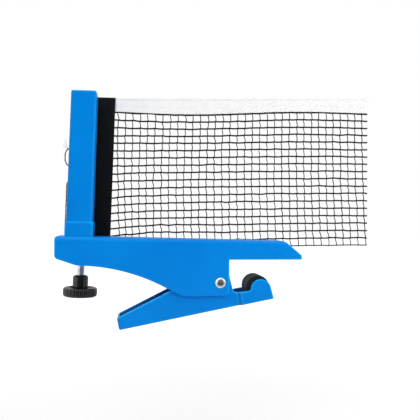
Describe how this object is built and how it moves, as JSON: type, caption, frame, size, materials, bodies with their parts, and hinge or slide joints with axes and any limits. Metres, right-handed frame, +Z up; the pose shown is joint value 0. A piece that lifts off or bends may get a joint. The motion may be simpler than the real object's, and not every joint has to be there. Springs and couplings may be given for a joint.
{
  "type": "table tennis net clamp",
  "caption": "Spring clamp with a roller lever, a height-adjustable post on a screw and knob, and the sleeved end of a table tennis net.",
  "frame": {"origin": "on the jaw's underside, where the table's top meets its edge, at mid depth", "axes": "+X on to the table, +Y to the back of the bracket, +Z up from the table's top"},
  "size_m": [0.3112, 0.0419, 0.2294],
  "materials": {
    "blue_plastic": "satin moulded nylon",
    "brass": "machined",
    "steel": "bright zinc plate",
    "spring_steel": "drawn wire",
    "black_plastic": "satin moulded",
    "roller_rubber": "ground rubber",
    "black_fabric": "woven canvas",
    "net_string": "twisted nylon string",
    "white_fabric": "woven tape",
    "cord": "twisted cord"
  },
  "bodies": {
    "clamp": {"bracket": "blue_plastic", "screw_nut": "brass", "pivot_pin": "steel", "pin_cap": "steel", "torsion_spring": "spring_steel"},
    "lever": {"lever": "blue_plastic", "roller_axle": "steel"},
    "roller": {"roller_core": "black_plastic", "roller_tyre": "roller_rubber"},
    "post": {"post": "blue_plastic", "screw_clip": "spring_steel", "net_rod": "steel", "net_sleeve": "black_fabric", "net_mesh": "net_string", "top_band": "white_fabric", "tension_cord": "cord"},
    "screw": {"height_screw": "steel", "screw_knob": "black_plastic"}
  },
  "joints": [
    {"name": "lever_pivot", "type": "hinge", "parent": "clamp", "child": "lever", "pos_m": [-0.00835, 0, -0.0218], "axis": [0, 1, 0], "range_deg": [0, 22], "stiffness_Nm_per_rad": 2, "springref_deg": -28.65, "deforming": ["torsion_spring"]},
    {"name": "roller_spin", "type": "hinge", "parent": "lever", "child": "roller", "pos_m": [0.02804, 0, -0.02664], "axis": [0, 1, 0], "continuous": true},
    {"name": "post_lift", "type": "slide", "parent": "clamp", "child": "post", "axis": [0.0297, 0, 0.9996], "range_m": [-0.007, 0.005]},
    {"name": "screw_turn", "type": "hinge", "parent": "post", "child": "screw", "pos_m": [-0.13815, 0, 0.0214], "axis": [0.0297, 0, 0.9996], "range_deg": [-2520, 1800]}
  ],
  "couplings": [
    {"joint": "screw_turn", "follows": "post_lift", "rad_per_m": 6283.2}
  ]
}
